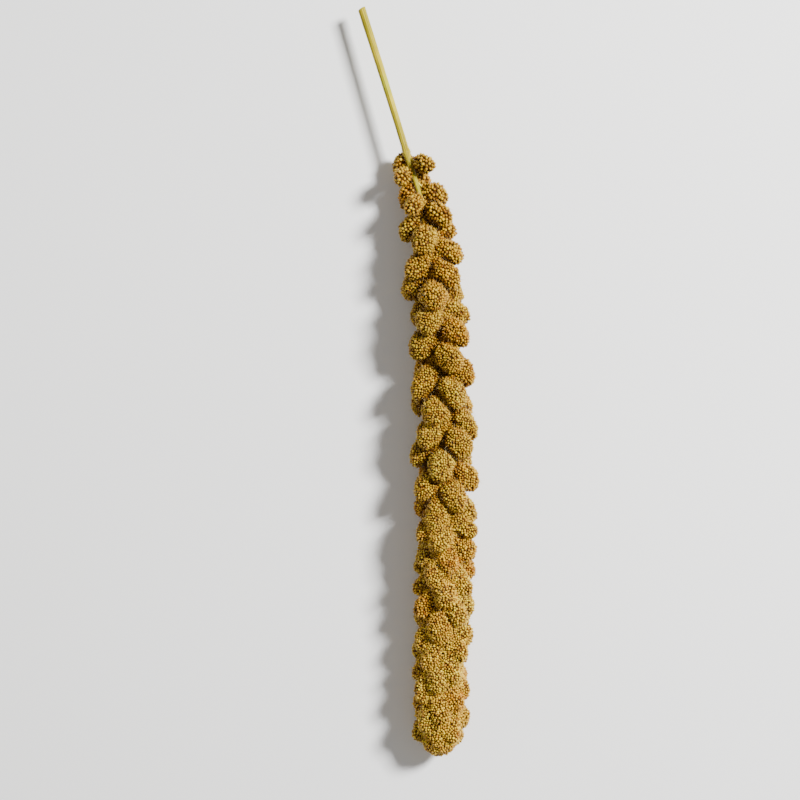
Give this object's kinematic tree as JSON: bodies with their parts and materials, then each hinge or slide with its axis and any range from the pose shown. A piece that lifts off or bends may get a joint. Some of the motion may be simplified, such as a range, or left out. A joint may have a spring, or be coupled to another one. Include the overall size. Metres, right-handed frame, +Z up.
{
  "type": "millet seed head",
  "caption": "Dried foxtail millet seed head: a straw stem that runs on as the rachis through a long head of rounded grain clusters.",
  "frame": {"origin": "middle of the footprint, on the surface that the head lies on", "axes": "+Z up from the surface, +Y from the head's tip towards the stem's cut end, +X to the right seen from above with the cut end at the top"},
  "size_m": [0.0679, 0.418, 0.0364],
  "materials": {
    "straw": "dry straw, faintly glossy and ribbed lengthwise",
    "gold_grain": "dry grain, satin"
  },
  "bodies": {
    "root": {"stem": "straw", "seed_head": "gold_grain"}
  },
  "joints": []
}
